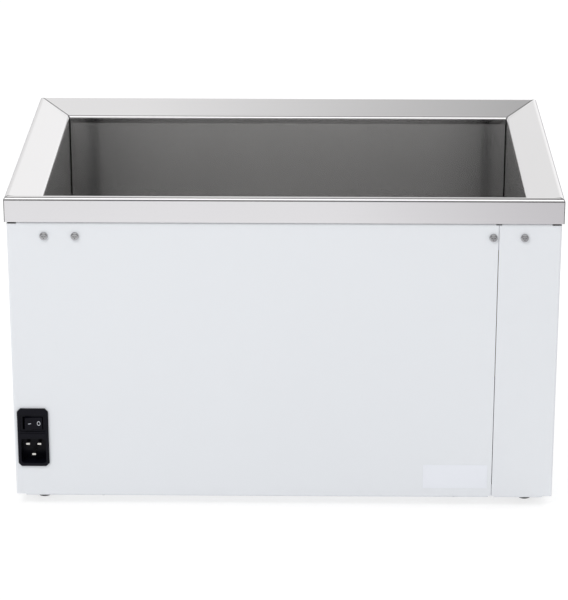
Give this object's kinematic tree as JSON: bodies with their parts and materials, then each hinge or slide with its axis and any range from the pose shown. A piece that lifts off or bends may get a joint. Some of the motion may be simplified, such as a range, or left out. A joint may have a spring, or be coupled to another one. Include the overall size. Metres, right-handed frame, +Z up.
{
  "type": "laboratory water bath",
  "caption": "Open rectangular water bath: a stainless tank in a sloping mitred rim, in a white folded sheet housing with mains inlet, keypad and drain valve.",
  "frame": {"origin": "on the surface it stands on, under the middle of the rim", "axes": "+Z up, +X along the long side, -Y towards the face with the mains inlet"},
  "size_m": [0.574, 0.3775, 0.346],
  "materials": {
    "rim_steel": "satin stainless, fine grain along each side",
    "tank_steel": "bright rolled stainless",
    "white_coat": "satin powder coat, faintly bluish white",
    "zinc_steel": "zinc-plated sheet",
    "screw_steel": "bright stainless fasteners",
    "foot_rubber": "black, slightly glossy",
    "label_film": "plain white film, nothing printed",
    "inlet_plastic": "glossy black moulding",
    "contact_metal": "nickel-plated blades",
    "panel_plastic": "dark grey moulding",
    "window_plastic": "dark red display window",
    "key_plastic": "light grey key caps",
    "board_laminate": "green solder mask",
    "module_grey": "grey component bodies",
    "black_plastic": "black moulding",
    "nickel_brass": "nickel-plated brass",
    "seat_plastic": "white sealing rings",
    "handle_plastic": "red handle",
    "heater_sheath": "annealed heater sheath",
    "wool": "mineral wool blanket",
    "brown_plastic": "phenolic body",
    "varnished_core": "varnished laminations",
    "relay_plastic": "blue relay cases",
    "sink_aluminium": "black anodised",
    "terminal_plastic": "green terminal block",
    "lead_blue": "blue insulation",
    "lead_green": "earth lead insulation",
    "lead_red": "red insulation",
    "lead_white": "white insulation",
    "lead_grey": "grey ribbon"
  },
  "bodies": {
    "housing": {"rim_frame": "rim_steel", "tank": "tank_steel", "rear_shell": "white_coat", "front_shell": "white_coat", "corner_brackets": "zinc_steel", "shell_screws": "screw_steel", "bracket_nuts": "zinc_steel", "base_plate": "zinc_steel", "base_screws": "screw_steel", "base_nuts": "zinc_steel", "feet": "foot_rubber", "foot_screws": "screw_steel", "rating_label": "label_film", "inlet_housing": "inlet_plastic", "contact_blades": "contact_metal", "switch_tabs": "contact_metal", "panel_bezel": "panel_plastic", "display_window": "window_plastic", "display_board": "board_laminate", "led_display": "module_grey", "tact_switches": "black_plastic", "panel_screws": "screw_steel", "niche": "black_plastic", "drain_pipe": "tank_steel", "valve_body": "nickel_brass", "valve_locknut": "nickel_brass", "valve_seats": "seat_plastic", "hose_tail": "nickel_brass", "heater": "heater_sheath", "heater_clamp": "zinc_steel", "clamp_studs": "screw_steel", "clamp_nuts": "zinc_steel", "tank_insulation": "wool", "tank_sensor": "contact_metal", "overheat_cutout": "brown_plastic", "power_board": "board_laminate", "board_spacers": "nickel_brass", "board_screws": "screw_steel", "transformer": "varnished_core", "relay": "relay_plastic", "heat_sink": "sink_aluminium", "triac": "black_plastic", "terminal_block": "terminal_plastic", "earth_stud": "nickel_brass", "mains_leads": "lead_blue", "earth_lead": "lead_green", "heater_leads": "lead_red", "sensor_lead": "lead_white", "panel_lead": "lead_grey"},
    "rocker": {"rocker": "inlet_plastic"},
    "key_down": {"key_down": "key_plastic"},
    "key_up": {"key_up": "key_plastic"},
    "key_ok": {"key_ok": "key_plastic"},
    "key_standby": {"key_standby": "key_plastic"},
    "drain_handle": {"valve_ball": "nickel_brass", "valve_stem": "nickel_brass", "valve_handle": "handle_plastic"}
  },
  "joints": [
    {"name": "rocker_tilt", "type": "hinge", "parent": "housing", "child": "rocker", "pos_m": [-0.2651, -0.18, 0.0949], "axis": [0, 0, 1], "range_deg": [-14, 0]},
    {"name": "key_down_press", "type": "slide", "parent": "housing", "child": "key_down", "axis": [0, -1, 0], "range_m": [0, 0.0008], "stiffness_N_per_m": 400},
    {"name": "key_up_press", "type": "slide", "parent": "housing", "child": "key_up", "axis": [0, -1, 0], "range_m": [0, 0.0008], "stiffness_N_per_m": 400},
    {"name": "key_ok_press", "type": "slide", "parent": "housing", "child": "key_ok", "axis": [0, -1, 0], "range_m": [0, 0.0008], "stiffness_N_per_m": 400},
    {"name": "key_standby_press", "type": "slide", "parent": "housing", "child": "key_standby", "axis": [0, -1, 0], "range_m": [0, 0.0008], "stiffness_N_per_m": 400},
    {"name": "drain_turn", "type": "hinge", "parent": "housing", "child": "drain_handle", "pos_m": [0.218, 0.1595, 0.0743], "axis": [0, 0, 1], "range_deg": [0, 90]}
  ]
}
